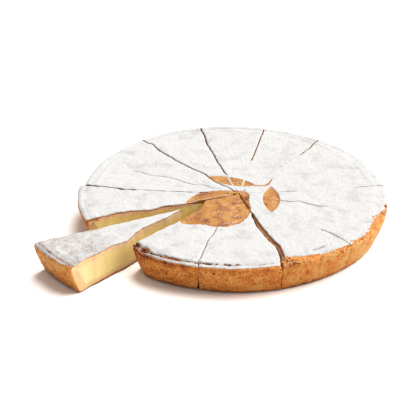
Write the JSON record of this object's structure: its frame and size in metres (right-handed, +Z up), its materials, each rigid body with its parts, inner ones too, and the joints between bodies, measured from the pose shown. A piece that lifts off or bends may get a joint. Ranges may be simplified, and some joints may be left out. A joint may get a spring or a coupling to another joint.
{
  "type": "sliced lemon tart",
  "caption": "Round covered lemon tart with a lemon filling, cut into slices, one slice drawn part-way out.",
  "frame": {"origin": "on the surface the tart stands on, under the middle of its bounding box, drawn slice included", "axes": "+Z up through the lid; +Y away from the viewer; the drawn slice points to -X and -Y"},
  "size_m": [0.3162, 0.2818, 0.0294],
  "materials": {
    "pastry": "baked shortcrust, grainy and matt",
    "filling": "set lemon cream, smooth and slightly moist"
  },
  "bodies": {
    "root": {"pastry_01": "pastry", "pastry_02": "pastry", "pastry_03": "pastry", "pastry_04": "pastry", "pastry_05": "pastry", "pastry_06": "pastry", "pastry_07": "pastry", "pastry_08": "pastry", "pastry_09": "pastry", "pastry_10": "pastry", "pastry_11": "pastry", "pastry_12": "pastry", "pastry_13": "pastry", "pastry_14": "pastry", "filling_01": "filling", "filling_02": "filling", "filling_03": "filling", "filling_04": "filling", "filling_05": "filling", "filling_06": "filling", "filling_07": "filling", "filling_08": "filling", "filling_09": "filling", "filling_10": "filling", "filling_11": "filling", "filling_12": "filling", "filling_13": "filling", "filling_14": "filling"}
  },
  "joints": []
}
